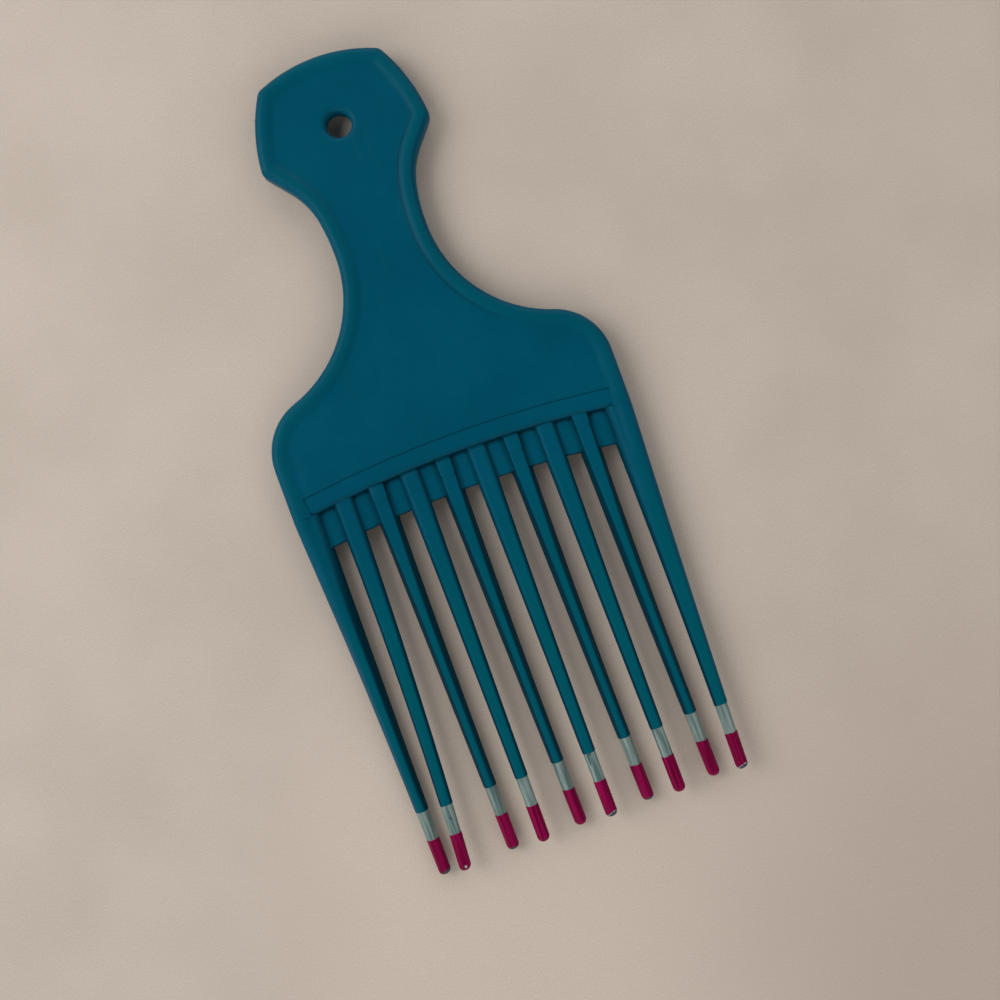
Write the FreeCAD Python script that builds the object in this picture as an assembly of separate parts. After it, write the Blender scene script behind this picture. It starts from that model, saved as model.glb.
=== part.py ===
import FreeCAD, Part
import math
import os
from FreeCAD import Vector

# Afro pick lying flat, millimetres. X runs across the teeth, Y along the pick with the head at +Y,
# Z through its thickness. The origin is under the middle of the pick, on the surface it lies on.

# Lengths along the pick, both from the middle of the bar's lower edge
handle_length = 90.0
tooth_length = 85.0

# Thickness: the rim stands highest, then the panel, the bar, the teeth and the webs
rim_thickness = 5.6
panel_thickness = 4.6
bar_thickness = 4.3
tooth_root_thickness = 3.4
web_thickness = 2.2

# Head
head_half_width = 19.15
head_top_half_width = 13.9
head_top_radius = 34.6
head_side_radius = 37.8
head_corner_radius = 2.0
hole_diameter = 5.5
hole_from_top = 15.3
hole_edge_radius = 1.3

# Neck and shoulders: a chain of arcs, each running smoothly into the next
waist_half_width = 10.45
waist_from_top = 41.6
neck_flank_angle = 40.0
neck_flank_radius = 18.4
neck_side_angle = 10.0
neck_side_radius = 47.5
neck_foot_radius = 28.2
shoulder_radius = 13.0
body_half_width = 38.5

# Raised rim round the handle
rim_edge_radius = 1.6
rim_land = 0.4
rim_flank = 2.2

# Bar and webs at the roots of the teeth
bar_radius = 259.0
bar_width = 4.1
bar_bevel_width = 0.4
web_reach = 8.1
web_edge_radius = 0.5

# Teeth: the tip is measured over its paint, and the plastic under the paint is slimmer
tooth_root_width = 4.9
outer_root_width = 6.26
outer_root_thickness = 5.4
outer_crest_shift = 1.4
tooth_tip_width = 2.7
tip_inset = 4.4
tip_roundness = 0.9
taper_bow = 1.4
parting_rise = 0.6
flat_side_power = 4.0
round_side_power = 2.3
tooth_lift = 1.1
pad_width = 2.8
pad_length = 4.6
pad_rise = 0.1
pad_corner_radius = 1.2

# Sideways set of each tooth's tip, left to right, from years of use
tooth_lean = [0.0, -2.9, 0.6, 0.0, 1.05, 0.35, 1.45, 0.75, 1.5, -0.15]

# Paint on the tips, silver first and magenta over it
coat_thickness = 0.1
silver_reach = 14.6
magenta_reach = 8.2

# Derived places
head_top_y = (handle_length + tooth_length) / 2
bar_y = head_top_y - handle_length
mid_z = rim_thickness / 2
panel_depth = (rim_thickness - panel_thickness) / 2
bar_depth = (rim_thickness - bar_thickness) / 2
rim_width = rim_edge_radius + rim_land + rim_flank
tooth_count = len(tooth_lean)
last_tooth = tooth_count - 1
inner_widths = (tooth_count - 2) * tooth_root_width
root_gap = (2 * body_half_width - 2 * outer_root_width - inner_widths) / last_tooth
tip_half_span = body_half_width - tip_inset
spare = 1.0
near = 0.01
sharp_joins = 2
wall_share = 0.45


def polar(center, radius, degrees):
    angle = math.radians(degrees)
    return center + Vector(radius * math.cos(angle), radius * math.sin(angle), 0)


def arc(center, radius, start, end):
    points = [polar(center, radius, degrees) for degrees in (start, (start + end) / 2, end)]
    return Part.Arc(*points).toShape()


def line(start, end):
    return Part.LineSegment(start, end).toShape()


def across(point):
    return Vector(-point.x, point.y, point.z)


def handle_outline():
    # Right-hand side from the head's top corner down past the bar, then the same on the left
    top_rise = math.sqrt(head_top_radius ** 2 - head_top_half_width ** 2)
    top_corner = Vector(head_top_half_width, head_top_y - head_top_radius + top_rise, 0)

    waist_y = head_top_y - waist_from_top
    side_turn = 180 - neck_side_angle
    flank_turn = 180 - neck_flank_angle
    side_center = Vector(waist_half_width + neck_side_radius, waist_y, 0)
    side_end = polar(side_center, neck_side_radius, side_turn)
    flank_center = polar(side_end, -neck_flank_radius, side_turn)
    flank_end = polar(flank_center, neck_flank_radius, flank_turn)
    flank_run = (head_half_width - flank_end.x) / math.tan(math.radians(neck_flank_angle))
    low_corner = Vector(head_half_width, flank_end.y + flank_run, 0)

    chord = low_corner - top_corner
    outward = Vector(-chord.y, chord.x, 0).normalize()
    bulge = head_side_radius - math.sqrt(head_side_radius ** 2 - (chord.Length / 2) ** 2)
    head_side = (top_corner + low_corner) / 2 + outward * bulge

    foot_center = Vector(waist_half_width + neck_foot_radius, waist_y, 0)
    shoulder_x = body_half_width - shoulder_radius
    center_distance = neck_foot_radius + shoulder_radius
    shoulder_drop = math.sqrt(center_distance ** 2 - (foot_center.x - shoulder_x) ** 2)
    shoulder_center = Vector(shoulder_x, waist_y - shoulder_drop, 0)
    toward = shoulder_center - foot_center
    foot_turn = 360 + math.degrees(math.atan2(toward.y, toward.x))

    side_top = Vector(body_half_width, shoulder_center.y, 0)
    side_foot = Vector(body_half_width, bar_y - web_reach - rim_width, 0)
    right = [
        Part.Arc(top_corner, head_side, low_corner).toShape(),
        line(low_corner, flank_end),
        arc(flank_center, neck_flank_radius, flank_turn, side_turn),
        arc(side_center, neck_side_radius, side_turn, 180),
        arc(foot_center, neck_foot_radius, 180, foot_turn),
        arc(shoulder_center, shoulder_radius, foot_turn - 180, 0),
        line(side_top, side_foot),
    ]
    left = [edge.mirror(Vector(0, 0, 0), Vector(1, 0, 0)) for edge in reversed(right)]
    top = Part.Arc(across(top_corner), Vector(0, head_top_y, 0), top_corner).toShape()
    foot = line(side_foot, across(side_foot))
    corners = [top_corner, low_corner, across(top_corner), across(low_corner)]
    return Part.Wire([top] + right + [foot] + left), corners, side_foot.y


def root_side(offset):
    # Everything on the teeth's side of a line that runs parallel to the bar's lower edge
    base = Vector(0, bar_y + offset - bar_radius, -spare)
    return Part.makeCylinder(bar_radius, rim_thickness + 2 * spare, base)


def panel_hollow(outline):
    # Hollow of the upper face inside the rim, with a sloping flank all round
    floor = outline.makeOffset2D(-rim_width, sharp_joins)
    floor.translate(Vector(0, 0, rim_thickness - panel_depth))
    mouth = outline.makeOffset2D(2 * rim_flank - rim_width, sharp_joins)
    mouth.translate(Vector(0, 0, rim_thickness + panel_depth))
    return Part.makeLoft([floor, mouth], True, True)


def bar_bevel():
    # Sloping cut along the bar's lower edge, between the side rims
    half_span = body_half_width - rim_width
    base = Vector(0, bar_y - bar_radius, rim_thickness - bar_depth - bar_bevel_width)
    cone = Part.makeCone(bar_radius, bar_radius + bar_bevel_width, bar_bevel_width, base)
    corner = Vector(-half_span, bar_y - bar_radius, 0)
    return cone.common(Part.makeBox(2 * half_span, 2 * bar_radius, rim_thickness, corner))


def both_faces(shape):
    # The two faces of the pick are alike, so what is cut in one is cut in the other
    return [shape, shape.mirror(Vector(0, 0, mid_z), Vector(0, 0, 1))]


def is_level(edge):
    return edge.BoundBox.ZLength < near


def stands_at(edge, corners):
    middle = edge.CenterOfMass
    return any(math.hypot(middle.x - corner.x, middle.y - corner.y) < near for corner in corners)


def make_handle():
    outline, corners, foot_y = handle_outline()
    body = Part.Face(outline).extrude(Vector(0, 0, rim_thickness))
    corner_edges = [edge for edge in body.Edges if stands_at(edge, corners)]
    body = body.makeFillet(head_corner_radius, corner_edges)
    rim_edges = [edge for edge in body.Edges if is_level(edge) and edge.CenterOfMass.y > foot_y + near]
    body = body.makeFillet(rim_edge_radius, rim_edges)

    panel = panel_hollow(outline)
    strip = panel.translated(Vector(0, 0, panel_depth - bar_depth)).common(root_side(bar_width))
    bevel = bar_bevel()
    body = body.cut([root_side(0)] + both_faces(panel) + both_faces(strip) + both_faces(bevel))

    hole_y = head_top_y - hole_from_top
    body = body.cut(Part.makeCylinder(hole_diameter / 2, rim_thickness, Vector(0, hole_y, 0)))
    hole_edges = [edge for edge in body.Edges if is_level(edge)
                  and edge.BoundBox.XLength < hole_diameter + near
                  and abs(edge.CenterOfMass.y - hole_y) < near]
    return body.makeFillet(hole_edge_radius, hole_edges)


def make_webs():
    # Thin wall that joins the roots of the teeth below the bar
    half_span = body_half_width - outer_root_width / 2
    corner = Vector(-half_span, bar_y - 2 * web_reach, mid_z - web_thickness / 2)
    block = Part.makeBox(2 * half_span, 3 * web_reach, web_thickness, corner)
    webs = block.common(root_side(spare)).cut(root_side(-web_reach))
    lip_y = bar_y - web_reach
    lip_edges = [edge for edge in webs.Edges if is_level(edge) and edge.BoundBox.XLength > half_span
                 and abs(edge.BoundBox.YMax - lip_y) < near]
    return webs.makeFillet(min(web_edge_radius, wall_share * web_thickness), lip_edges)


class Tooth:
    def __init__(self, index):
        self.outer = index in (0, last_tooth)
        self.hand = math.copysign(1, index - last_tooth / 2)
        self.flat_side = 1 if index % 2 else -1
        self.lean = tooth_lean[index]
        self.tip_x = (2 * index / last_tooth - 1) * tip_half_span
        if self.outer:
            self.root_width = outer_root_width
            self.root_thickness = outer_root_thickness
            self.root_x = self.hand * (body_half_width - outer_root_width / 2)
        else:
            self.root_width = tooth_root_width
            self.root_thickness = tooth_root_thickness
            self.root_x = (index - last_tooth / 2) * (tooth_root_width + root_gap)

    def section(self, along, coat):
        # Closed curve round the tooth at a distance below the bar: a superellipse that is squarer on its
        # flat side and widest near that side
        share = along / tooth_length
        taper = max(1 - share, 0) ** taper_bow
        half_width = (tooth_tip_width + (self.root_width - tooth_tip_width) * taper) / 2
        half_height = (tooth_tip_width + (self.root_thickness - tooth_tip_width) * taper) / 2 + coat
        crest_shift = self.hand * outer_crest_shift * taper if self.outer else 0
        middle_x = self.root_x + (self.tip_x - self.root_x) * share + self.lean * share ** 2
        middle_z = mid_z + self.flat_side * tooth_lift * share
        parting = self.flat_side * parting_rise * taper
        points = []
        quarter_steps = 5
        for step in range(4 * quarter_steps):
            angle = math.pi * (step + 0.5) / (2 * quarter_steps)
            side = math.copysign(1, math.cos(angle))
            upper = math.copysign(1, math.sin(angle))
            root_power = flat_side_power if upper == self.flat_side else round_side_power
            power = 2 + (root_power - 2) * taper
            x_reach = half_width - side * crest_shift + coat
            x = middle_x + crest_shift + side * x_reach * abs(math.cos(angle)) ** (2 / power)
            z_reach = half_height - upper * parting
            z = middle_z + parting + upper * z_reach * math.sin(angle * upper) ** (2 / power)
            points.append(Vector(x, bar_y - along, z))
        curve = Part.BSplineCurve()
        curve.interpolate(points, PeriodicFlag=True)
        return Part.Wire(curve.toShape())

    def stretch(self, start, end, coat):
        # Solid between two distances below the bar
        stations = 5
        places = [start + (end - start) * step / (stations - 1) for step in range(stations)]
        return Part.makeLoft([self.section(along, coat) for along in places], True)

    def tip(self, start, coat):
        # Solid from a distance below the bar to the rounded tip, a coat over or under the finished face
        end = tooth_length + coat
        solid = self.stretch(start, end, coat)
        tip_edges = [edge for edge in solid.Edges if edge.BoundBox.YMax < bar_y - end + near]
        tip_radius = tooth_tip_width / 2 + coat
        return solid.makeFillet(tip_radius * tip_roundness, tip_edges)

    def pad(self):
        # Flat pad on the round side of the root, where the tooth leaves the bar
        height = tooth_root_thickness / 2 + pad_rise
        low_z = mid_z if self.flat_side < 0 else mid_z - height
        corner = Vector(self.root_x - pad_width / 2, bar_y - pad_length, low_z)
        block = Part.makeBox(pad_width, pad_length + spare, height, corner)
        end_edges = [edge for edge in block.Edges
                     if edge.BoundBox.YMax < corner.y + near and not is_level(edge)]
        return block.makeFillet(min(pad_corner_radius, wall_share * pad_width), end_edges)

    def solid(self):
        shoulder = tooth_length - silver_reach
        tooth = self.stretch(-spare, shoulder, 0).fuse(self.tip(shoulder, -2 * coat_thickness))
        if not self.outer:
            tooth = tooth.fuse(self.pad())
        return tooth.common(root_side(0))

    def coat(self, reach, inside, outside):
        # Thimble of paint: an outer skin, an inner skin and the ring between their rims
        start = tooth_length - reach
        rim_y = bar_y - start
        outer_skin, inner_skin = [self.tip(start, coat).Faces for coat in (outside, inside)]

        def is_cap(face):
            return face.BoundBox.YMin > rim_y - near

        outer_cap, inner_cap = [next(filter(is_cap, skin)) for skin in (outer_skin, inner_skin)]
        walls = [face for face in outer_skin if not is_cap(face)]
        walls += [face.reversed() for face in inner_skin if not is_cap(face)]
        return Part.Solid(Part.Shell(walls + outer_cap.cut(inner_cap).Faces))


os.makedirs("parts", exist_ok=True)
teeth = [Tooth(index) for index in range(tooth_count)]
tooth_solids = [tooth.solid() for tooth in teeth]
nodes = {"handle_plate": make_handle().fuse(make_webs().cut(tooth_solids))}
for number, (tooth, solid) in enumerate(zip(teeth, tooth_solids), 1):
    nodes[f"tooth_{number:02d}"] = solid
    nodes[f"silver_coat_{number:02d}"] = tooth.coat(silver_reach, -2 * coat_thickness, -coat_thickness)
    nodes[f"magenta_coat_{number:02d}"] = tooth.coat(magenta_reach, -coat_thickness, 0)

for name, shape in nodes.items():
    shape = shape.removeSplitter()
    shape.exportStep(f"parts/{name}.step")
    print(name, "solids", len(shape.Solids), "valid", shape.isValid(), "volume", round(shape.Volume, 2))
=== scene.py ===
import math
import bmesh
import bpy
from mathutils import Matrix, Vector, kdtree, noise


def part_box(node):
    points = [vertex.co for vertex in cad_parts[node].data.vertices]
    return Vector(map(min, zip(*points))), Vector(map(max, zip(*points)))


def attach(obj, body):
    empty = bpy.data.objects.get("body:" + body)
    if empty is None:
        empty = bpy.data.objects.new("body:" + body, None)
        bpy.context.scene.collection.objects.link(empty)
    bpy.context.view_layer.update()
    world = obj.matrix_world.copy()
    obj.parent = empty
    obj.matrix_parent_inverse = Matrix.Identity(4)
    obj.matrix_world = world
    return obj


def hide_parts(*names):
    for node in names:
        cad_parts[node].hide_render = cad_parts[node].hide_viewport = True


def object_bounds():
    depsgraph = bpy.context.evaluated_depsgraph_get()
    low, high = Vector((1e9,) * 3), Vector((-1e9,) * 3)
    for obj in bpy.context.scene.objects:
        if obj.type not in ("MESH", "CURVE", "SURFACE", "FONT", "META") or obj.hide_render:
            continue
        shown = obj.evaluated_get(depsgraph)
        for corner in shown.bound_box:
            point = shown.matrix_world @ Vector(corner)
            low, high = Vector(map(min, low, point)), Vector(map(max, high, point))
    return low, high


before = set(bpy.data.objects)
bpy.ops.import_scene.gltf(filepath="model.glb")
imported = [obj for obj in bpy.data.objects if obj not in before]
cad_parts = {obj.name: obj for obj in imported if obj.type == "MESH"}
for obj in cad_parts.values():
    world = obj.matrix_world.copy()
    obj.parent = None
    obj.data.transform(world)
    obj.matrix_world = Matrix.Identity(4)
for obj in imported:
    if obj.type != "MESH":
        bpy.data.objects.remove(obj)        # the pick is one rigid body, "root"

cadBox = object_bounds()
mm = 0.001
weld = 0.001 * mm        # points closer than this become one
slack = 0.01 * mm        # for finding parts of a mesh by their place

# places that the frame gives
plateLow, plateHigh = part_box("handle_plate")
bodyHalf = plateHigh.x
headTop = plateHigh.y
midZ = (plateLow.z + plateHigh.z) / 2
toothCount = sum(name.startswith("tooth_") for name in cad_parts)


# small tools for working in edit mode

def deselect():
    if bpy.context.object and bpy.context.object.mode == "EDIT":
        bpy.ops.object.mode_set(mode="OBJECT")
    bpy.ops.object.select_all(action="DESELECT")


def choose(piece):
    deselect()
    piece.select_set(True)
    bpy.context.view_layer.objects.active = piece


def openEdit(piece):
    choose(piece)
    bpy.ops.object.mode_set(mode="EDIT")
    bpy.ops.mesh.select_all(action="DESELECT")


def closeEdit():
    bpy.ops.object.mode_set(mode="OBJECT")


def openMesh():
    return bmesh.from_edit_mesh(bpy.context.edit_object.data)


def pick(kind, test):       # select the faces, edges or vertices that pass a test
    bpy.ops.mesh.select_all(action="DESELECT")
    bpy.ops.mesh.select_mode(type=kind)
    shape = openMesh()
    parts = {"FACE": shape.faces, "EDGE": shape.edges, "VERT": shape.verts}[kind]
    for part in parts:
        if test(part):
            part.select_set(True)
    shape.select_flush_mode()
    bmesh.update_edit_mesh(bpy.context.edit_object.data)


def startLine(name, point):     # a single vertex to draw from
    deselect()
    bpy.ops.mesh.primitive_plane_add(size=mm)
    piece = bpy.context.object
    piece.name = piece.data.name = name
    bpy.ops.object.mode_set(mode="EDIT")
    bpy.ops.mesh.select_mode(type="VERT")
    bpy.ops.mesh.select_all(action="SELECT")
    bpy.ops.mesh.merge(type="CENTER")
    bpy.ops.transform.translate(value=point)
    return piece


def lineEnd():
    return next(vertex for vertex in openMesh().verts if vertex.select).co.copy()


def runTo(point, steps=1):
    step = (Vector(point) - lineEnd()) / steps
    for _ in range(steps):
        bpy.ops.mesh.extrude_region_move(TRANSFORM_OT_translate={"value": step})


def turn(center, degrees, steps):       # clockwise, seen from above
    bpy.ops.mesh.spin(steps=steps, angle=math.radians(degrees), center=center, axis=(0, 0, 1))


def fillLine():
    bpy.ops.mesh.select_all(action="SELECT")
    bpy.ops.mesh.remove_doubles(threshold=weld)
    bpy.ops.mesh.edge_face_add()


def applyModifier(piece, kind, **settings):
    choose(piece)
    modifier = piece.modifiers.new(kind.lower(), kind)
    for key, value in settings.items():
        setattr(modifier, key, value)
    bpy.ops.object.modifier_apply(modifier=modifier.name)


def carve(piece, tool, operation="DIFFERENCE"):
    applyModifier(piece, "BOOLEAN", object=tool, operation=operation, solver="EXACT")
    bpy.data.objects.remove(tool)


def finishMesh(piece, degrees):
    openEdit(piece)
    bpy.ops.mesh.select_all(action="SELECT")
    bpy.ops.mesh.remove_doubles(threshold=weld / 2)
    bpy.ops.mesh.normals_make_consistent(inside=False)
    closeEdit()
    choose(piece)
    bpy.ops.object.shade_smooth_by_angle(angle=math.radians(degrees))


def paintAttribute(piece, name, values):
    layer = piece.data.attributes.new(name, "FLOAT", "POINT")
    layer.data.foreach_set("value", values)


def polar(center, radius, degrees):
    angle = math.radians(degrees)
    return center + Vector((radius * math.cos(angle), radius * math.sin(angle), 0))


def ease(low, high, value):     # 0 below low, 1 above high, smooth between
    share = min(max((value - low) / (high - low), 0), 1)
    return share * share * (3 - 2 * share)


# handle plate: head, neck, body, rim, bar and webs
plate = {
    "length": 90 * mm,              # head's top to the middle of the bar's lower edge
    "topHalf": 13.9 * mm,
    "topRadius": 34.6 * mm,
    "headHalf": 19.15 * mm,
    "headSideRadius": 37.8 * mm,
    "cornerRadius": 1.75 * mm,
    "waistHalf": 10.45 * mm,
    "waistFromTop": 41.6 * mm,
    "flankTurn": 40,
    "flankRadius": 18.4 * mm,
    "neckTurn": 10,
    "neckRadius": 47.5 * mm,
    "footRadius": 28.2 * mm,
    "shoulderRadius": 13 * mm,
    "edgeRound": 1.6 * mm,          # rim, from the outside in
    "land": 0.4 * mm,
    "flank": 2.2 * mm,
    "panelHalf": 2.3 * mm,
    "dish": 0.12 * mm,              # how deep the middle of the panel sinks
    "dishReach": 14 * mm,
    "dishFade": (2 * mm, 16 * mm),  # above the crease
    "grid": 4 * mm,
    "holeRadius": 2.75 * mm,
    "holeFromTop": 15.3 * mm,
    "holeRound": 1.3 * mm,
    "barRadius": 259 * mm,
    "barHalf": 2.15 * mm,
    "barWidth": 4.1 * mm,
    "lipRound": 0.9 * mm,
    "creaseWidth": 0.3 * mm,
    "creaseDepth": 0.12 * mm,
    "creaseLean": 0.1 * mm,
    "webHalf": 0.85 * mm,
    "webReach": 8.1 * mm,
    "webRound": 0.5 * mm,
    "webBands": [1 * mm, -0.2 * mm, -0.6 * mm, -1.1 * mm],      # from the bar down, for the band of painted shade
    "smooth": 35,
    "steps": {"top": 10, "headSide": 8, "corner": 4, "cheek": 3, "flank": 8, "neck": 4, "foot": 20,
              "shoulder": 16, "side": 8, "rimRound": 7, "rimFlank": 6, "bar": 56, "web": 280,
              "holeRound": 10, "hole": 72, "root": 900},
}
barY = headTop - plate["length"]
rimWidth = plate["edgeRound"] + plate["land"] + plate["flank"]
barCenter = Vector((0, barY - plate["barRadius"], 0))


def isAt(vertex, corner):       # on either side of the pick
    return (Vector((abs(vertex.co.x), vertex.co.y, 0)) - corner).length < 5 * slack


def traceHandle():
    # right-hand side from the middle of the head's top down past the bar, then mirrored
    steps = plate["steps"]
    waistY = headTop - plate["waistFromTop"]
    neckCenter = Vector((plate["waistHalf"] + plate["neckRadius"], waistY, 0))
    neckTop = polar(neckCenter, plate["neckRadius"], 180 - plate["neckTurn"])
    flankCenter = polar(neckTop, -plate["flankRadius"], 180 - plate["neckTurn"])
    flankTop = polar(flankCenter, plate["flankRadius"], 180 - plate["flankTurn"])
    flankRun = (plate["headHalf"] - flankTop.x) / math.tan(math.radians(plate["flankTurn"]))
    lowCorner = Vector((plate["headHalf"], flankTop.y + flankRun, 0))
    footCenter = Vector((plate["waistHalf"] + plate["footRadius"], waistY, 0))
    shoulderX = bodyHalf - plate["shoulderRadius"]
    footReach = plate["footRadius"] + plate["shoulderRadius"]
    footTurn = math.degrees(math.acos((footCenter.x - shoulderX) / footReach))
    shoulderCenter = polar(footCenter, footReach, 180 + footTurn)

    piece = startLine("handlePlate", (0, headTop, 0))
    topTurn = math.degrees(math.asin(plate["topHalf"] / plate["topRadius"]))
    turn((0, headTop - plate["topRadius"], 0), topTurn, steps["top"])
    topCorner = lineEnd()
    chord = lowCorner - topCorner
    outward = Vector((-chord.y, chord.x, 0)).normalized()
    setBack = math.sqrt(plate["headSideRadius"] ** 2 - (chord.length / 2) ** 2)
    sideTurn = 2 * math.degrees(math.asin(chord.length / 2 / plate["headSideRadius"]))
    turn((topCorner + lowCorner) / 2 - outward * setBack, sideTurn, steps["headSide"])
    runTo(flankTop, steps["cheek"])
    turn(flankCenter, plate["neckTurn"] - plate["flankTurn"], steps["flank"])
    turn(neckCenter, -plate["neckTurn"], steps["neck"])
    turn(footCenter, -footTurn, steps["foot"])
    turn(shoulderCenter, footTurn, steps["shoulder"])
    footY = barY - plate["webReach"] - rimWidth
    runTo((bodyHalf, footY, 0), steps["side"])
    runTo((0, footY, 0), steps["side"])
    closeEdit()
    applyModifier(piece, "MIRROR", merge_threshold=slack)
    openEdit(piece)
    fillLine()

    for corner in (topCorner, lowCorner):
        pick("VERT", lambda vertex: isAt(vertex, corner))
        sharp = next(vertex for vertex in openMesh().verts if vertex.select)
        arms = [(edge.other_vert(sharp).co - sharp.co).normalized() for edge in sharp.link_edges]
        halfAngle = arms[0].angle(arms[1]) / 2
        center = sharp.co + (arms[0] + arms[1]).normalized() * plate["cornerRadius"] / math.sin(halfAngle)
        cut = plate["cornerRadius"] / math.tan(halfAngle)
        bpy.ops.mesh.bevel(offset=cut, segments=steps["corner"], affect="VERTICES")
        for vertex in openMesh().verts:
            if vertex.select:       # bevel draws a parabola here, so bring it onto the circle
                middle = Vector((math.copysign(center.x, vertex.co.x), center.y, 0))
                vertex.co = middle + (vertex.co - middle).normalized() * plate["cornerRadius"]
    pick("FACE", lambda face: True)
    if next(iter(openMesh().faces)).normal.z < 0:
        bpy.ops.mesh.flip_normals()
    return piece


def isTop(face, height):        # the large face that the rim closes in on
    level = abs(face.calc_center_median().z - height) < slack
    return level and len(face.verts) > 40 and abs(face.normal.z) > 0.9


def raiseRim():
    # half the thickness: straight side, rounded edge, land, then the flank down to the panel
    edge = plate["edgeRound"]
    wall = midZ - edge
    bpy.ops.mesh.extrude_region_move(TRANSFORM_OT_translate={"value": (0, 0, wall)})
    roundSteps, flankSteps = plate["steps"]["rimRound"], plate["steps"]["rimFlank"]
    profile = [(0, 0)]
    for step in range(1, roundSteps):
        angle = math.pi / 2 * step / roundSteps
        profile.append((edge * (1 - math.cos(angle)), edge * math.sin(angle)))
    landIn = edge + plate["land"]
    profile += [(edge, edge), (landIn, edge)]
    drop = midZ - plate["panelHalf"]
    for step in range(1, flankSteps + 1):
        share = step / flankSteps
        profile.append((landIn + plate["flank"] * share, edge - drop * ease(0, 1, share)))
    profile.append((rimWidth + plate["land"], profile[-1][1]))

    for (lastIn, lastUp), (nextIn, nextUp) in zip(profile, profile[1:]):
        bpy.ops.mesh.inset(thickness=nextIn - lastIn, depth=nextUp - lastUp, use_even_offset=True)
        if nextIn == edge:      # the head's round corners have shrunk to points
            bpy.ops.mesh.remove_doubles(threshold=25 * slack)
            top = wall + nextUp
            pick("FACE", lambda face: isTop(face, top))


def isPanel(face):
    level = abs(face.calc_center_median().z - plate["panelHalf"]) < slack
    return level and face.normal.z > 0.999


def panelSink(fromEdge):        # how far the panel sinks, away from its edge
    return plate["dish"] * ease(0, plate["dishReach"], fromEdge)


def dishPanel():
    # cut the panel into a grid, then sink its middle a little
    pick("FACE", isPanel)
    edge = [vertex.co.copy() for vertex in openMesh().verts if vertex.select]
    for axis, reach in ((0, bodyHalf), (1, headTop)):
        count = int(reach / plate["grid"])
        for step in range(-count, count + 1):
            place, normal = Vector((0, 0, 0)), Vector((0, 0, 0))
            place[axis] = step * plate["grid"]
            normal[axis] = 1
            pick("FACE", isPanel)
            bpy.ops.mesh.bisect(plane_co=place, plane_no=normal)
    near = kdtree.KDTree(len(edge))
    for number, point in enumerate(edge):
        near.insert(point, number)
    near.balance()
    creaseY = barY + plate["barWidth"]
    pick("FACE", isPanel)
    for vertex in openMesh().verts:
        if vertex.select:
            fade = ease(*plate["dishFade"], vertex.co.y - creaseY)
            vertex.co.z -= panelSink(near.find(vertex.co)[2]) * fade
    bmesh.update_edit_mesh(bpy.context.edit_object.data)


def sweepBar(name, profile, halfSpan, steps):
    # a closed profile, (up from the bar's lower edge, height), carried along the curve of the bar
    points = [Vector((0, barY + up, midZ + height)) for up, height in profile]
    tool = startLine(name, points[0])
    for point in points[1:] + points[:1]:
        runTo(point)
    fillLine()
    halfTurn = math.asin(halfSpan / plate["barRadius"])
    bpy.ops.transform.rotate(value=-halfTurn, orient_axis="Z", center_override=barCenter)
    turn(barCenter, 2 * math.degrees(halfTurn), steps)
    bpy.ops.mesh.select_all(action="SELECT")
    bpy.ops.mesh.normals_make_consistent(inside=False)
    closeEdit()
    return tool


def quarter(centerUp, centerHeight, radius, start, end, steps=5):
    angles = [math.radians(start + (end - start) * step / steps) for step in range(steps + 1)]
    return [(centerUp + radius * math.cos(a), centerHeight + radius * math.sin(a)) for a in angles]


def barTool(side):
    # lowers the bar under the panel, rounds its lip and leaves a fine crease above it
    lip = plate["lipRound"]
    top = plate["barHalf"]
    spare = 2 * mm
    crease = plate["barWidth"]
    profile = [(-spare, top - lip)]
    profile += quarter(lip, top - lip, lip, 180, 90)
    profile += [(crease - plate["creaseWidth"], top),
                (crease - plate["creaseWidth"] / 2, top - plate["creaseDepth"]),
                (crease, top), (crease + plate["creaseLean"], top + spare), (-spare, top + spare)]
    profile = [(up, side * height) for up, height in profile]
    return sweepBar("barTool", profile, bodyHalf - rimWidth, plate["steps"]["bar"])


def holeTool():
    # a waisted pin, so the hole's edges come out rounded
    radius, lip = plate["holeRadius"], plate["holeRound"]
    half = plate["panelHalf"] - panelSink(plate["holeFromTop"] - rimWidth - plate["land"])
    holeY = headTop - plate["holeFromTop"]
    lipSteps = plate["steps"]["holeRound"]
    angles = [math.radians(90 * step / lipSteps) for step in range(lipSteps + 1)]
    upper = [(radius + lip * (1 - math.cos(a)), half - lip + lip * math.sin(a)) for a in angles]
    brim = radius + lip + 1 * mm        # the pin's head, clear of the panel
    upper += [(brim, half + 0.1 * mm), (brim, half + 2 * mm)]
    outline = [(reach, -height) for reach, height in reversed(upper)] + upper
    tool = startLine("holeTool", (0, holeY, midZ + outline[0][1]))
    for reach, height in outline + [(0, outline[-1][1])]:
        runTo((reach, holeY, midZ + height))
    bpy.ops.mesh.select_all(action="SELECT")
    turn((0, holeY, 0), 360, plate["steps"]["hole"])
    bpy.ops.mesh.select_all(action="SELECT")
    bpy.ops.mesh.remove_doubles(threshold=weld)
    bpy.ops.mesh.normals_make_consistent(inside=False)
    closeEdit()
    return tool


def rootTool():
    # cuts the plate off along the bar's lower edge, and stands well past both faces
    deselect()
    bpy.ops.mesh.primitive_cylinder_add(vertices=plate["steps"]["root"], radius=plate["barRadius"],
                                        depth=6 * midZ, location=(0, barCenter.y, midZ))
    return bpy.context.object


def webTool():
    # thin wall between the roots of the teeth, with a rounded lower lip
    half, reach, lip = plate["webHalf"], plate["webReach"], plate["webRound"]
    profile = [(up, half) for up in plate["webBands"]]
    profile += quarter(lip - reach, half - lip, lip, 90, 180)
    profile += quarter(lip - reach, lip - half, lip, 180, 270)
    profile += [(up, -half) for up in reversed(plate["webBands"])]
    return sweepBar("webTool", profile, outerX, plate["steps"]["web"])
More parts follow.
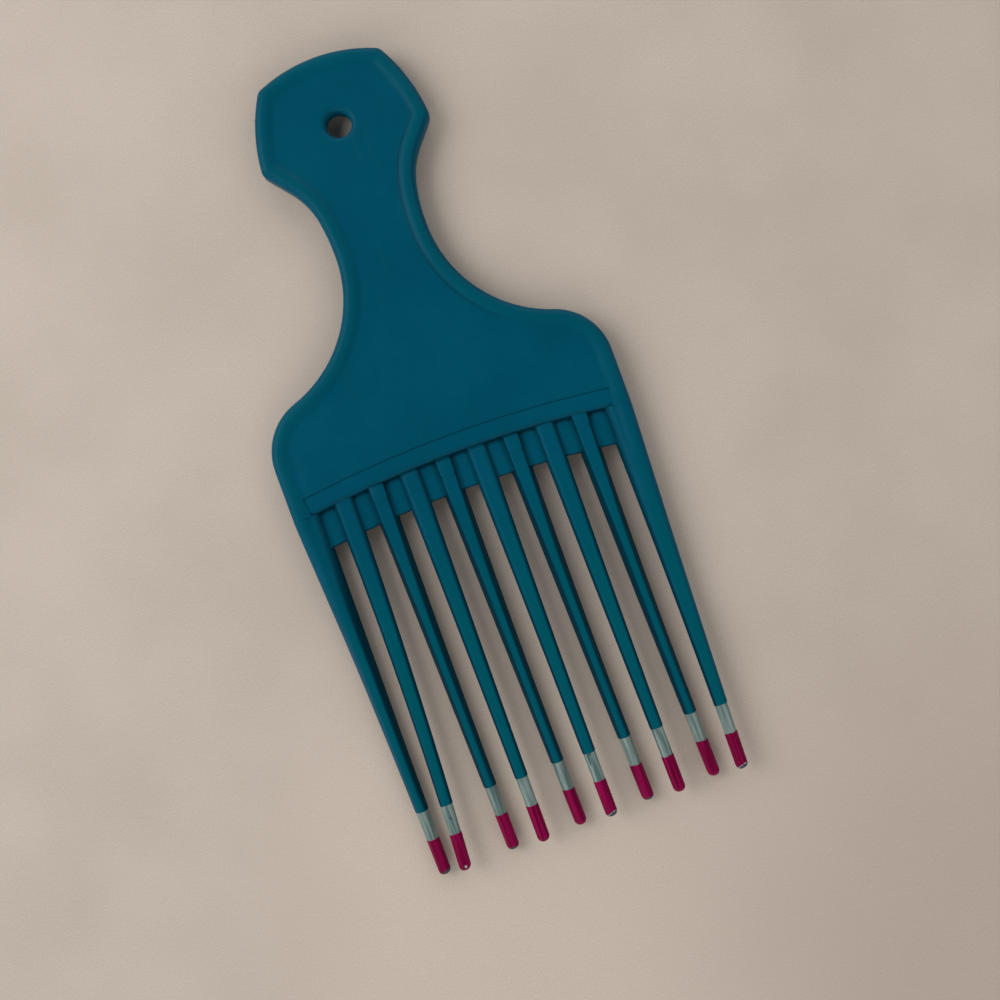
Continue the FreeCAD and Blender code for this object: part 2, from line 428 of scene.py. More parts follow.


# how much painted highlight and painted shade the plate gets, from 0 to 1, and where that fades
platePaintedLight = {
    "rim": 0.45,
    "rimRise": 0.03 * mm,
    "underBar": (0.1 * mm, 1.1 * mm),
    "webSide": 0.45,
    "webSideFade": (0.1 * mm, 0.6 * mm),
    "barLip": 0.3,
    "rimFoot": 0.08,
    "footRise": (0.02 * mm, 0.16 * mm),         # above the panel
    "neckFoot": 0.4,                            # more painted shade, on the right of the neck
    "neckLow": (16 * mm, 30 * mm),
    "neckHigh": (64 * mm, 76 * mm),
    "neckRight": (0, 8 * mm),
}


def paintRimHighlight(piece):
    # painted highlight along the rim, where it stands above the panel
    values = []
    for vertex in piece.data.vertices:
        level = abs(vertex.co.z - midZ)
        above = ease(plate["panelHalf"] + platePaintedLight["rimRise"], midZ, level)
        values.append(0 if vertex.co.y < barY else platePaintedLight["rim"] * above)
    paintAttribute(piece, "paintedHighlight", values)


def rimFootShade(point):
    up = ease(*platePaintedLight["neckLow"], point.y) * (1 - ease(*platePaintedLight["neckHigh"], point.y))
    return platePaintedLight["rimFoot"] + platePaintedLight["neckFoot"] * up * ease(*platePaintedLight["neckRight"], point.x)


def paintWebShade(piece):
    # painted shade where the webs meet the bar and the teeth, on both lips and along the foot of the rim
    footLow, footHigh = platePaintedLight["footRise"]
    webLip = (plate["webReach"] - plate["webRound"], plate["webReach"])
    values = []
    for vertex in piece.data.vertices:
        below = plate["barRadius"] - (vertex.co - barCenter).xy.length
        level = abs(vertex.co.z - midZ)
        inside = abs(vertex.co.x) < outerX
        value = 0
        if inside and below > -30 * slack and level < plate["webHalf"] + 5 * slack:
            aside = vertex.co.x / pitch
            toTooth = rootGap / 2 - abs(aside - round(aside)) * pitch
            value = 1 - ease(*platePaintedLight["underBar"], below) + ease(*webLip, below)
            value += platePaintedLight["webSide"] * (1 - ease(*platePaintedLight["webSideFade"], toTooth))
        elif inside and -plate["lipRound"] < below < 5 * slack and level < plate["barHalf"] - 2 * slack:
            value = platePaintedLight["barLip"]
        elif below < 0 and footLow < level - plate["panelHalf"] < footHigh:
            value = rimFootShade(vertex.co)
        values.append(min(value, 1))
    paintAttribute(piece, "deep", values)


def makeHandle():
    piece = traceHandle()
    raiseRim()
    dishPanel()
    # open the flat underneath, where the mirrored half joins
    pick("FACE", lambda face: abs(face.calc_center_median().z) < weld and abs(face.normal.z) > 0.9)
    bpy.ops.mesh.delete(type="FACE")
    closeEdit()
    applyModifier(piece, "MIRROR", use_axis=(False, False, True), merge_threshold=slack / 2)
    openEdit(piece)
    bpy.ops.mesh.select_all(action="SELECT")
    bpy.ops.transform.translate(value=(0, 0, midZ))
    bpy.ops.mesh.normals_make_consistent(inside=False)
    closeEdit()
    carve(piece, rootTool())
    for side in (1, -1):
        carve(piece, barTool(side))
    carve(piece, holeTool())
    carve(piece, webTool(), "UNION")
    finishMesh(piece, plate["smooth"])
    paintWebShade(piece)
    paintRimHighlight(piece)
    return piece


# teeth: one inner and one outer blank, each copied and set
tooth = {
    "length": barY - cadBox[0].y,
    "rootWidth": 4.9 * mm,
    "rootHeight": 3.4 * mm,
    "outerWidth": 6.26 * mm,
    "outerHeight": 4.4 * mm,
    "outerStart": 3 * mm,           # the plate's side ends here, along the bar's curve
    "tipWidth": 2.7 * mm,
    "tipRound": 0.9,                # share of the tip's radius that is rounded
    "tipTurn": 88,                  # degrees of the dome that are drawn, short of its pole
    "tipInset": 4.4 * mm,
    "bow": 1.4,
    "roundLate": 6,                 # how late the section turns round towards the tip
    "flatSide": (0.52, 1.6),        # share of the width that is level, and how softly the flank starts
    "roundSide": (0.32, 1.3),
    "parting": 0.35,                # height of the widest line, as a share of half the height
    "dip": 0.3,                     # the root dips where it meets the bar
    "dipFade": (0.15 * mm, 1.3 * mm),
    "seat": 0.15 * mm,              # how far an outer root reaches past the bar's edge
    "lift": 1.1 * mm,               # even teeth rise, odd ones dip
    "lean": [0, -2.9, 0.6, 0, 1.05, 0.35, 1.45, 0.75, 1.5, -0.15],      # mm at the tip, from use
    "rimFade": 42 * mm,             # the rim runs on into the outer teeth
    "innerFlank": 1.7 * mm,
    "innerSoft": 0.6,
    "rootCrest": 0.26,              # wider crest at the root, on the round side
    "crestFade": (5 * mm, 32 * mm),
    "padWidth": 3.2 * mm,
    "padStart": 0.7 * mm,
    "padLength": 4.0 * mm,
    "padHeight": 1.74 * mm,
    "padCorner": 1.2 * mm,
    "padEdge": 0.12 * mm,
    "padSunk": 0.8,                 # share of its height that runs into the tooth
    "shoulder": [(0.2, 0.05), (0.08, 0.25), (0.01, 0.6), (0, 1)],   # mm before the paint, share of the step
    "shoulderRoom": (0.4 * mm, 0.3 * mm),   # kept free of other rings, before and after
    "rootStep": 0.2 * mm,           # between the rings at the root, then further on, then under the paint
    "step": 2.2 * mm,
    "paintedStep": 2.5 * mm,
    "sides": 56,
    "smooth": 40,
}
coat = {
    "thickness": 0.1 * mm,
    "wall": 0.08 * mm,
    "silverReach": 14.6 * mm,
    "magentaReach": 8.2 * mm,
    "tuck": 1.2 * mm,               # how far the silver runs on under the magenta
    "silverLip": [(0.1 * mm, 1.6)],             # back from its start, how many coats deep
    "magentaLip": [(0.05 * mm, 0.7), (0, 0.25)],
    "lipEnd": 0.08 * mm,
    "silverStep": 0.15 * mm,
    "magentaStep": 0.22 * mm,
    "wave": 0.16 * mm,              # how uneven the magenta's edge is
    "waveFade": 2.5 * mm,
    "waveLength": 1.4 * mm,
    "waveShift": 7.3,               # from tooth to tooth
    "sides": 72,
}
lastTooth = toothCount - 1
rootGap = (2 * bodyHalf - 2 * tooth["outerWidth"] - (toothCount - 2) * tooth["rootWidth"]) / lastTooth
pitch = tooth["rootWidth"] + rootGap            # from one inner tooth to the next
outerX = bodyHalf - tooth["outerWidth"] / 2     # middle of an outer tooth's root
shoulderAt = tooth["length"] - coat["silverReach"]
magentaAt = tooth["length"] - coat["magentaReach"]


def shareOf(along, outer=False):
    start = tooth["outerStart"] if outer else 0
    return min(max(along - start, 0) / (tooth["length"] - start), 1)


def taper(along, outer=False):
    return (1 - shareOf(along, outer)) ** tooth["bow"]


def halfSizes(outer, along, under=0):
    kind = "outer" if outer else "root"
    tip = tooth["tipWidth"]
    return [(tip + (root - tip) * taper(along, outer)) / 2 - under
            for root in (tooth[kind + "Width"], tooth[kind + "Height"])]


def tipRings(outer, under, steps=9):
    # dome over the end: (distance below the bar, half width, half height)
    end = tooth["length"] - under
    radius = tooth["tipWidth"] / 2 - under
    dome = tooth["tipRound"] * radius
    rings = []
    for step in range(1, steps + 1):
        angle = math.radians(tooth["tipTurn"]) * step / steps
        along = end - dome * (1 - math.sin(angle))
        share = 1 - tooth["tipRound"] * (1 - math.cos(angle))
        rings.append((along, *[half * share for half in halfSizes(outer, end - dome, under)]))
    return rings, end - dome


def evenRings(outer, start, end, spacing, under):
    count = max(int((end - start) / spacing), 1)
    places = [start + (end - start) * step / count for step in range(count + 1)]
    return [(along, *halfSizes(outer, along, under)) for along in places]


def drawTube(name, rings, sides, solid, domed):
    # a ring, extruded and scaled from station to station
    deselect()
    along, width, height = rings[0]
    bpy.ops.mesh.primitive_circle_add(vertices=sides, radius=1, fill_type="NGON" if solid else "NOTHING",
                                      rotation=(math.pi / 2, 0, 0))
    piece = bpy.context.object
    piece.name = piece.data.name = name
    bpy.ops.object.transform_apply(rotation=True)
    bpy.ops.object.mode_set(mode="EDIT")
    bpy.ops.mesh.select_all(action="SELECT")
    bpy.ops.transform.resize(value=(width, 1, height), center_override=(0, 0, 0))
    bpy.ops.transform.translate(value=(0, barY - along, 0))
    for (lastAlong, lastWidth, lastHeight), (along, width, height) in zip(rings, rings[1:]):
        bpy.ops.mesh.extrude_region_move(TRANSFORM_OT_translate={"value": (0, lastAlong - along, 0)})
        bpy.ops.transform.resize(value=(width / lastWidth, 1, height / lastHeight),
                                 center_override=(0, barY - along, 0))
    if domed:
        bpy.ops.mesh.edge_face_add()
    closeEdit()
    return piece


def rimHeight(inward, width):
    # the plate's own profile at its side edge, closed by the tooth's inner flank
    edge, top = plate["edgeRound"], midZ
    if inward < edge:
        height = top - edge + math.sqrt(edge ** 2 - (edge - inward) ** 2)
    else:
        height = top - (top - plate["barHalf"]) * ease(edge + plate["land"], rimWidth, inward)
    flank = max(2 * width - inward, 0) / tooth["innerFlank"]
    return height * min(flank, 1) ** tooth["innerSoft"]


def squareUp(piece, rings, outer):
    # from ellipse to a level crest and sloping flanks, widest near the flat side, round at the tip
    for vertex in piece.data.vertices:
        along, width, height = min(rings, key=lambda ring: abs(barY - vertex.co.y - ring[0]))
        up = vertex.co.z / height
        side = min(abs(vertex.co.x) / width, 1)
        crest, soft = tooth["flatSide"] if up > 0 else tooth["roundSide"]
        if up < 0 and not outer:
            crest += tooth["rootCrest"] * (1 - ease(*tooth["crestFade"], along))
        full = 1 - (max(side - crest, 0) / (1 - crest)) ** soft
        shaped = 1 - (1 - taper(along)) ** tooth["roundLate"]
        part = tooth["parting"] * shaped
        seam = abs(up) < 0.001      # on the widest line
        if seam:
            vertex.co.z = height * part
        else:
            reach = abs(up) + (full - abs(up)) * shaped
            vertex.co.z = height * (part + math.copysign(reach, up) * (1 - math.copysign(part, up)))
        if outer:
            rim = 0 if seam else math.copysign(rimHeight(width - vertex.co.x, width), up)
            vertex.co.z += (rim - vertex.co.z) * (1 - ease(0, tooth["rimFade"], along))


def dipRoot(along):
    return 1 - tooth["dip"] * (1 - ease(*tooth["dipFade"], along))


def followBar(piece):
    # start the outer tooth along the curve of the bar, where it leaves the plate
    for vertex in piece.data.vertices:
        drop = plate["barRadius"] - math.sqrt(plate["barRadius"] ** 2 - (outerX + vertex.co.x) ** 2)
        vertex.co.y = min(vertex.co.y, barY - drop + tooth["seat"])


def padTool():
    # flat pad with a rounded end, on the round side of the root
    deselect()
    width, length, height = tooth["padWidth"], tooth["padLength"], tooth["padHeight"]
    bpy.ops.mesh.primitive_plane_add(size=1)
    pad = bpy.context.object
    bpy.ops.object.mode_set(mode="EDIT")
    bpy.ops.mesh.select_all(action="SELECT")
    bpy.ops.transform.resize(value=(width, length, 1), center_override=(0, 0, 0))
    endY = barY - tooth["padStart"] - length
    bpy.ops.transform.translate(value=(0, endY + length / 2, -height))
    bpy.ops.mesh.extrude_region_move(TRANSFORM_OT_translate={"value": (0, 0, height * tooth["padSunk"])})
    pick("EDGE", lambda edge: all(v.co.y < endY + slack for v in edge.verts)
         and abs(edge.verts[0].co.z - edge.verts[1].co.z) > 10 * slack)
    bpy.ops.mesh.bevel(offset=tooth["padCorner"], segments=6, affect="EDGES")
    pick("EDGE", lambda edge: all(v.co.z < slack - height for v in edge.verts))
    bpy.ops.mesh.bevel(offset=tooth["padEdge"], segments=2, affect="EDGES")
    bpy.ops.mesh.select_all(action="SELECT")
    bpy.ops.mesh.normals_make_consistent(inside=False)
    closeEdit()
    return pad


# how level a face is, from painted shade to none and from plain to painted highlight, and where that fades
toothPaintedLight = {
    "flank": (0.45, 0.93),
    "crest": (0.9, 0.99),
    "crestFade": (2 * mm, 40 * mm),             # below the bar
    "freeSide": (-0.5 * mm, 0.5 * mm),          # an outer tooth gets no painted shade on its free side
}


def paintToothLight(piece, outer):
    # painted shade down the flanks that face another tooth, and a painted highlight along the crests
    flanks, crests = [], []
    for vertex in piece.data.vertices:
        level = abs(vertex.normal.z)
        clear = ease(*toothPaintedLight["freeSide"], vertex.co.x) if outer else 0
        flanks.append((1 - ease(*toothPaintedLight["flank"], level)) * (1 - clear))
        paintedHighlight = ease(*toothPaintedLight["crestFade"], barY - vertex.co.y)
        crests.append(ease(*toothPaintedLight["crest"], level) * paintedHighlight)
    paintAttribute(piece, "deep", flanks)
    paintAttribute(piece, "paintedHighlight", crests)


def makeToothBlank(outer):
    under = 2 * coat["thickness"]
    rootSteps = [step * tooth["rootStep"] for step in range(-5, 9)]     # from inside the bar down
    rings = [(along, *halfSizes(outer, along)) for along in rootSteps]
    if not outer:
        rings = [(along, width, height * dipRoot(along)) for along, width, height in rings]
    before, after = tooth["shoulderRoom"]
    rings += evenRings(outer, tooth["step"], shoulderAt - before, tooth["step"], 0)
    rings += [(shoulderAt - back * mm, *halfSizes(outer, shoulderAt, share * under))
              for back, share in tooth["shoulder"]]
    tip, domeStart = tipRings(outer, under)
    rings += evenRings(outer, shoulderAt + after, domeStart, tooth["paintedStep"], under) + tip
    name = "outerTooth" if outer else "innerTooth"
    piece = drawTube(name, rings, tooth["sides"], solid=True, domed=False)
    squareUp(piece, rings, outer)
    if outer:
        followBar(piece)
    else:
        carve(piece, padTool(), "UNION")
    finishMesh(piece, tooth["smooth"])
    paintToothLight(piece, outer)
    return piece


def giveWall(piece):
    # a coat of paint is a thin shell, open where it was dipped
    finishMesh(piece, tooth["smooth"])
    applyModifier(piece, "SOLIDIFY", thickness=coat["wall"], offset=-1)


def lipRings(outer, start, lip):
    return [(start - back, *halfSizes(outer, start, deep * coat["thickness"])) for back, deep in lip]


def makeSilverBlank(outer):
    rings = lipRings(outer, shoulderAt, coat["silverLip"])
    rings += evenRings(outer, shoulderAt, magentaAt + coat["tuck"], coat["silverStep"], coat["thickness"])
    name = "outerSilver" if outer else "innerSilver"
    piece = drawTube(name, rings, coat["sides"], solid=False, domed=False)
    squareUp(piece, rings, False)
    giveWall(piece)
    return piece


def makeMagentaBlank(outer):
    tip, domeStart = tipRings(outer, 0)
    rings = lipRings(outer, magentaAt, coat["magentaLip"])
    rings += evenRings(outer, magentaAt + coat["lipEnd"], domeStart, coat["magentaStep"], 0) + tip
    name = "outerMagenta" if outer else "innerMagenta"
    piece = drawTube(name, rings, coat["sides"], solid=False, domed=True)
    squareUp(piece, rings, False)
    giveWall(piece)
    return piece


def copyOf(blank, name):
    choose(blank)
    bpy.ops.object.duplicate()
    piece = bpy.context.object
    piece.name = piece.data.name = name
    return piece


def setTooth(piece, index):
    # carry a straight blank to its place: slant, lean, dip or rise, and turn odd ones over
    outer = index in (0, lastTooth)
    hand = 1 if index > lastTooth / 2 else -1
    flatSide = 1 if index % 2 else -1
    rootX = hand * outerX if outer else (index - lastTooth / 2) * pitch
    tipX = (2 * index / lastTooth - 1) * (bodyHalf - tooth["tipInset"])
    for vertex in piece.data.vertices:
        share = shareOf(barY - vertex.co.y, outer)
        x = vertex.co.x * (hand if outer else 1)
        vertex.co.x = x + rootX + (tipX - rootX) * share + tooth["lean"][index] * mm * share ** 2
        vertex.co.z = midZ + flatSide * min(vertex.co.z + tooth["lift"] * share, midZ)


# worn tips: how deep the paint is gone, how the worn face leans, right and up, and the silver round it
wornTips = {
    1: {"depth": 0.42 * mm, "lean": (0.4, 0.3), "silver": 0},
    3: {"depth": 0.34 * mm, "lean": (0.15, 0.3), "silver": 0},
    6: {"depth": 0.42 * mm, "lean": (0.3, 0.35), "silver": 0.12 * mm},
    7: {"depth": 0.26 * mm, "lean": (0.15, 0.3), "silver": 0},
    10: {"depth": 0.46 * mm, "lean": (0.25, 0.35), "silver": 0.12 * mm},
}
# chips in the paint: millimetres right of the tooth's middle and below the bar, then half sizes and turn
silverChips = {
    2: [(0.15, 73.2, 0.13, 0.5, 40)],
    6: [(-0.55, 71.6, 0.16, 1.5, 0), (-0.2, 70.6, 0.5, 0.16, 0)],
}
magentaChips = {2: [(0.25, 84.0, 0.26, 0.34, 10)]}
paintWear = {
    "ragged": 0.08 * mm,
    "grain": 0.5 * mm,
    "bareEdge": 0.05 * mm,
    "silverEdge": 0.04 * mm,
    "flatten": 0.12,                # share of the worn depth that is really gone
    "chipEdge": (0.85, 1.15),       # as a share of the chip's half size
    "chipRagged": 0.2,
    "chipGrain": 0.2 * mm,
}


def onChip(point, chips):
    # 1 inside a chip on the upper face, with a ragged edge
    most = 0
    for right, along, halfWidth, halfLength, degrees in chips:
        off = Vector((point.x - right * mm, barY - point.y - along * mm))
        off.rotate(Matrix.Rotation(math.radians(degrees), 2))
        reach = math.hypot(off.x / halfWidth, off.y / halfLength) / mm
        reach += paintWear["chipRagged"] * noise.noise(point / paintWear["chipGrain"])
        most = max(most, 1 - ease(*paintWear["chipEdge"], reach))
    return most if point.z > 0 else 0


def chipBand(piece, number):
    chips = silverChips.get(number, [])
    paintAttribute(piece, "bare", [onChip(vertex.co, chips) for vertex in piece.data.vertices])


def wearTip(piece, number):
    # marks where the silver shows again and where the plastic is bare
    spot = wornTips.get(number)
    chips = magentaChips.get(number, [])
    across = -1 if number == 1 else 1        # tooth 1 is mirrored, and odd teeth are turned over
    upward = -1 if number % 2 else 1
    silverMarks, bareMarks = [], []
    for vertex in piece.data.vertices:
        shows, bare = onChip(vertex.co, chips), 0
        if spot:
            tilt = Vector((across * spot["lean"][0], -1, upward * spot["lean"][1])).normalized()
            past = (vertex.co - Vector((0, barY - tooth["length"], 0))).dot(tilt) + spot["depth"]
            ragged = past + paintWear["ragged"] * noise.noise(vertex.co / paintWear["grain"])
            bare = ease(-paintWear["bareEdge"], 0, ragged)
            if spot["silver"]:
                shows = ease(-spot["silver"] - paintWear["silverEdge"], -spot["silver"], ragged)
            if past > 0:
                vertex.co -= tilt * past * paintWear["flatten"]
        silverMarks.append(shows)
        bareMarks.append(bare)
    paintAttribute(piece, "silver", silverMarks)
    paintAttribute(piece, "bare", bareMarks)


def waveLip(piece, number):
    # a dipped edge is never quite level
    wave = coat["waveLength"]
    for vertex in piece.data.vertices:
        along = barY - vertex.co.y
        fade = 1 - ease(0, coat["waveFade"], along - magentaAt)
        if fade > 0:
            spot = Vector((vertex.co.x / wave, vertex.co.z / wave, number * coat["waveShift"]))
            vertex.co.y += coat["wave"] * fade * noise.noise(spot)


def makeTeeth(stemFinish, bandFinish, capFinish):
    blanks = {}
    for outer in (False, True):
        blanks[outer] = [make(outer) for make in (makeToothBlank, makeSilverBlank, makeMagentaBlank)]
    made = []
    for index in range(toothCount):
        number = index + 1
        outer = index in (0, lastTooth)
        bare, silverBlank, magentaBlank = blanks[outer]
        stem = copyOf(bare, f"tooth{number:02d}")
        setTooth(stem, index)
        band = copyOf(silverBlank, f"silverBand{number:02d}")
        chipBand(band, number)
        setTooth(band, index)
        cap = copyOf(magentaBlank, f"magentaTip{number:02d}")
        waveLip(cap, number)
        wearTip(cap, number)
        setTooth(cap, index)
        for piece, node, slot, finish in ((stem, "tooth", "teal_plastic", stemFinish),
                                          (band, "silver_coat", "silver_paint", bandFinish),
                                          (cap, "magenta_coat", "magenta_paint", capFinish)):
            finishMesh(piece, tooth["smooth"])
            piece.data.materials.clear()
            piece.data.materials.append(finish)
            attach(piece, "root")
            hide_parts(f"{node}_{number:02d}")
            made.append(piece)
    for group in blanks.values():
        for blank in group:
            bpy.data.objects.remove(blank)
    return made


# shader maths

class Wire:
    def __init__(self, tree, socket=None):
        self.tree = tree
        self.socket = socket

    def node(self, kind, settings=None, sockets=None, out=0):
        made = self.tree.nodes.new(kind)
        for key, value in (settings or {}).items():
            setattr(made, key, value)
        for key, value in (sockets or {}).items():
            if isinstance(value, Wire):
                self.tree.links.new(value.socket, made.inputs[key])
            else:
                made.inputs[key].default_value = value
        return Wire(self.tree, made.outputs[out])

    def math(self, operation, first, second=0.0):
        return self.node("ShaderNodeMath", {"operation": operation}, {0: first, 1: second})

    def __add__(self, other):
        return self.math("ADD", self, other)

    def __radd__(self, other):
        return self.math("ADD", other, self)

    def __sub__(self, other):
        return self.math("SUBTRACT", self, other)

    def __rsub__(self, other):
        return self.math("SUBTRACT", other, self)

    def __mul__(self, other):
        return self.math("MULTIPLY", self, other)

    def __rmul__(self, other):
        return self.math("MULTIPLY", other, self)

    def between(self, low, high):       # 0 at low, 1 at high, smooth
        return self.node("ShaderNodeMapRange", {"interpolation_type": "SMOOTHSTEP"},
                         {"Value": self, "From Min": low, "From Max": high})

    def blend(self, first, second):     # colours, by this factor
        return self.node("ShaderNodeMix", {"data_type": "RGBA"}, {0: self, 6: first, 7: second}, 2)

    def noise(self, place, scale, detail=2.0):
        return self.node("ShaderNodeTexNoise", None, {"Vector": place, "Scale": scale, "Detail": detail})

    def streaks(self, place, scale, turnZ=0.0):     # noise with its own scale on each axis
        stretched = self.node("ShaderNodeMapping", None,
                              {"Vector": place, "Rotation": (0, 0, turnZ), "Scale": scale})
        return self.noise(stretched, 1.0)

    def attribute(self, name):
        return self.node("ShaderNodeAttribute", {"attribute_name": name}, out=2)

    def bump(self, height, strength, distance):
        return self.node("ShaderNodeBump", None,
                         {"Strength": strength, "Distance": distance, "Height": height})


def startMaterial(name, **shine):
    material = bpy.data.materials.new(name)
    material.use_nodes = True
    tree = material.node_tree
    shader = next(node for node in tree.nodes if node.type == "BSDF_PRINCIPLED")
    for key, value in shine.items():
        shader.inputs[key.replace("_", " ")].default_value = value
    wire = Wire(tree)
    place = wire.node("ShaderNodeTexCoord", out=3)
    return material, shader, wire, place


def plug(wire, shader, name):
    wire.tree.links.new(wire.socket, shader.inputs[name])


teal = {
    "deep": (0.0, 0.062, 0.107, 1),
    "light": (0.0, 0.072, 0.122, 1),
    # a dark teal for painted shade and a lighter one for painted highlight
    "paintedShade": (0.0, 0.016, 0.026, 1),
    "paintedHighlight": (0.0, 0.082, 0.108, 1),
    "paintedLightShare": 0.8,                    # how far painted shade and painted highlight take over
    "gloss": 0.04,
    "roughness": 0.32,
    "cloud": 55,                    # scales of the texture, per metre
    "speck": 700,
    "scuff": (900, 60, 900),
    "scuffTurn": 0.5,
    "ripple": 1600,
    "swell": 180,
    "bump": 0.12,
    "bumpDepth": 0.2 * mm,
}


def tealPlastic():
    material, shader, wire, place = startMaterial("tealPlastic", Specular_IOR_Level=teal["gloss"])
    cloudy = wire.noise(place, teal["cloud"], 3).between(0.35, 0.65)
    fine = wire.noise(place, teal["speck"]).between(0.3, 0.7)
    color = (cloudy * 0.7 + fine * 0.3).blend(teal["deep"], teal["light"])
    # painted highlight on the rim and the crests of the teeth, then painted shade in the creases, under the
    # bar and between the teeth
    color = (wire.attribute("paintedHighlight") * teal["paintedLightShare"]).blend(color, teal["paintedHighlight"])
    color = (wire.attribute("deep").between(0, 1) * teal["paintedLightShare"]).blend(color, teal["paintedShade"])
    plug(color, shader, "Base Color")
    scuffs = wire.streaks(place, teal["scuff"], teal["scuffTurn"]).between(0.6, 0.72)
    plug(teal["roughness"] + cloudy * 0.06 + scuffs * 0.12, shader, "Roughness")
    ripple = wire.noise(place, teal["ripple"]) * 0.6 + wire.noise(place, teal["swell"]) * 2.0 + scuffs * 0.4
    plug(wire.bump(ripple, teal["bump"], teal["bumpDepth"]), shader, "Normal")
    return material


silver = {
    "pale": (0.24, 0.31, 0.295, 1),
    "dull": (0.09, 0.16, 0.155, 1),
    "under": (0.012, 0.075, 0.09, 1),
    "metallic": 0.25,
    "roughness": 0.34,
    "streak": (1500, 90, 1500),
}


def silverPaint():
    material, shader, wire, place = startMaterial("silverPaint", Metallic=silver["metallic"])
    streaks = wire.streaks(place, silver["streak"]).between(0.35, 0.68)
    color = streaks.blend(silver["dull"], silver["pale"])
    plug(wire.attribute("bare").blend(color, silver["under"]), shader, "Base Color")
    plug(silver["roughness"] + streaks * 0.12, shader, "Roughness")
    return material


magenta = {
    "deep": (0.10, 0.0, 0.020, 1),
    "light": (0.23, 0.002, 0.056, 1),
    "silver": (0.33, 0.38, 0.38, 1),
    "bare": (0.04, 0.06, 0.075, 1),
    "gloss": 0.06,
    "roughness": 0.36,
    "streak": (1800, 70, 1800),
}


def magentaPaint():
    material, shader, wire, place = startMaterial("magentaPaint", Specular_IOR_Level=magenta["gloss"])
    streaks = wire.streaks(place, magenta["streak"]).between(0.3, 0.7)
    color = streaks.blend(magenta["deep"], magenta["light"])
    for mark in ("silver", "bare"):
        color = wire.attribute(mark).between(0.2, 0.8).blend(color, magenta[mark])
    plug(color, shader, "Base Color")
    plug(magenta["roughness"] + streaks * 0.1, shader, "Roughness")
    return material


floor = {
    "light": (0.549, 0.479, 0.421, 1),
    "dark": (0.503, 0.439, 0.382, 1),
    # painted light on the floor: a paler pool of light and a darker, pinker patch of painted shade
    "pale": (0.611, 0.526, 0.452, 1),
    "paleAt": (-15 * mm, -100 * mm, 0),
    "paleReach": 90 * mm,
    "rosy": (0.479, 0.393, 0.340, 1),
    "rosyAt": (85 * mm, -140 * mm, 0),
    "rosyReach": 110 * mm,
    "patch": 0.75,
    "cloud": 26,
    "weave": (4200, 2400, 1),
    "weaveTurn": 0.35,
    "weaveShade": 0.12,
    "roughness": 0.9,
    "gloss": 0.2,
    "bump": 0.12,
    "bumpDepth": 0.3 * mm,
    "size": 3.0,
    "sink": 0.02 * mm,              # just clear of the pick
}


def floorCloth():
    material, shader, wire, place = startMaterial("floorCloth", Roughness=floor["roughness"],
                                                  Specular_IOR_Level=floor["gloss"])
    soft = wire.noise(place, floor["cloud"], 3).between(0.3, 0.7)
    weave = wire.streaks(place, floor["weave"], floor["weaveTurn"])
    color = soft.blend(floor["dark"], floor["light"])
    # painted light: one patch painted paler, and a darker, pinker patch of painted shade towards the lower
    # right
    for tone in ("pale", "rosy"):
        middle, reach = floor[tone + "At"], floor[tone + "Reach"]
        away = wire.node("ShaderNodeVectorMath", {"operation": "DISTANCE"}, {0: place, 1: middle}, out=1)
        color = (away.between(reach, reach / 5) * floor["patch"]).blend(color, floor[tone])
    shade = 1 - floor["weaveShade"] + weave.between(0.32, 0.68) * floor["weaveShade"]
    plug(shade.blend((0, 0, 0, 1), color), shader, "Base Color")
    plug(wire.bump(weave, floor["bump"], floor["bumpDepth"]), shader, "Normal")
    return material


# floor, light and camera
view = {
    "pixel": 0.216 * mm,            # size of a photo pixel at the pick's middle height
    "nadir": (4.75 * mm, -15.4 * mm),           # the point straight under the camera
    "field": math.radians(50),
    "turn": math.radians(-20.167),
    "photo": 1000,                  # pixels across
    "clip": 0.01,
}
room = {
    "color": (1, 0.985, 0.97, 1),
    "strength": 1.22,
    "horizon": 0.04,
    "rise": (-0.1, 0.2),            # heights on the dome, as sines
    "overhead": (0.6, 0.88),
    "toward": math.radians(70),     # the line of the pick's two ends, past which the dome is brighter
    "endBias": 0.6,
    "leftBias": 0.1,
}
lamp = {
    "watts": 2.2,
    "size": 0.5,
    "reach": 0.5,                   # from the pick, level
    "height": 0.42,
    "toward": 150,                  # degrees, the photo's left
    "color": (1, 0.97, 0.94),
}


def makeFloor():
    deselect()
    bpy.ops.mesh.primitive_plane_add(size=floor["size"], location=(0, 0, 0))
    piece = bpy.context.object
    piece.name = "floor"
    bpy.ops.object.mode_set(mode="EDIT")
    bpy.ops.mesh.select_all(action="SELECT")
    bpy.ops.transform.translate(value=(0, 0, -floor["sink"]))
    closeEdit()
    piece.data.materials.append(floorCloth())


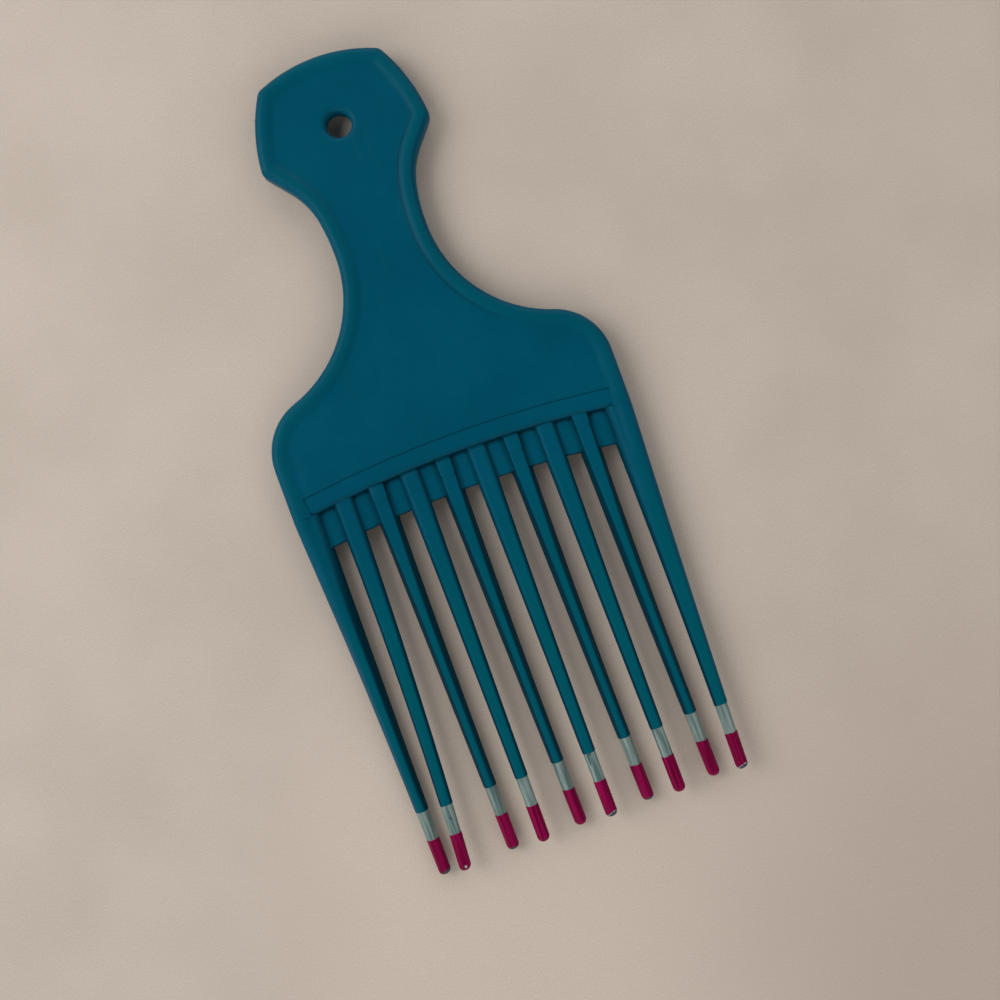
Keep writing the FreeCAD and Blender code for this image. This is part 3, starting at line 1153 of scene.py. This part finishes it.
def makeRoom():
    # a soft dome, dark right overhead, where the camera is, brighter past the two ends and to the left
    world = bpy.data.worlds.new("room")
    world.use_nodes = True
    wire = Wire(world.node_tree)
    direction = wire.node("ShaderNodeTexCoord")
    parts = wire.node("ShaderNodeSeparateXYZ", None, {0: direction}).socket.node.outputs
    across, along, up = [Wire(world.node_tree, parts[axis]) for axis in range(3)]
    dome = room["horizon"] + up.between(*room["rise"]) * (1 - up.between(*room["overhead"]))
    cosine, sine = math.cos(room["toward"]), math.sin(room["toward"])
    ends = across * cosine + along * sine       # towards the photo's top
    sides = along * cosine - across * sine      # towards its left
    bias = 1 + room["endBias"] * (ends * ends - sides * sides) + room["leftBias"] * sides
    sky = world.node_tree.nodes["Background"]
    sky.inputs["Color"].default_value = room["color"]
    world.node_tree.links.new((dome * bias * room["strength"]).socket, sky.inputs["Strength"])
    bpy.context.scene.world = world


def makeLamp():
    light = bpy.data.lights.new("lamp", "AREA")
    light.shape = "DISK"
    light.size = lamp["size"]
    light.energy = lamp["watts"]
    light.color = lamp["color"]
    holder = bpy.data.objects.new("lamp", light)
    bpy.context.scene.collection.objects.link(holder)
    level = polar(Vector((0, 0, 0)), lamp["reach"], lamp["toward"])
    holder.location = level + Vector((0, 0, lamp["height"]))
    holder.rotation_euler = (-holder.location).to_track_quat("-Z", "Y").to_euler()


def makeCamera():
    lens = bpy.data.cameras.new("overhead")
    lens.angle = view["field"]
    lens.clip_start = view["clip"]
    camera = bpy.data.objects.new("overhead", lens)
    bpy.context.scene.collection.objects.link(camera)
    height = view["photo"] / 2 * view["pixel"] / math.tan(view["field"] / 2)
    camera.location = (*view["nadir"], midZ + height)
    camera.rotation_euler = (0, 0, view["turn"])
    bpy.context.scene.camera = camera


tealFinish = tealPlastic()
handle = makeHandle()
handle.data.materials.append(tealFinish)
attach(handle, "root")
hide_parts("handle_plate")
print("handle plate made,", len(handle.data.polygons), "faces")

pieces = makeTeeth(tealFinish, silverPaint(), magentaPaint())
print("teeth made,", len(pieces), "pieces")

makeFloor()
makeRoom()
makeLamp()
makeCamera()
bpy.context.scene.view_settings.view_transform = "Standard"
print("floor, light and camera set")
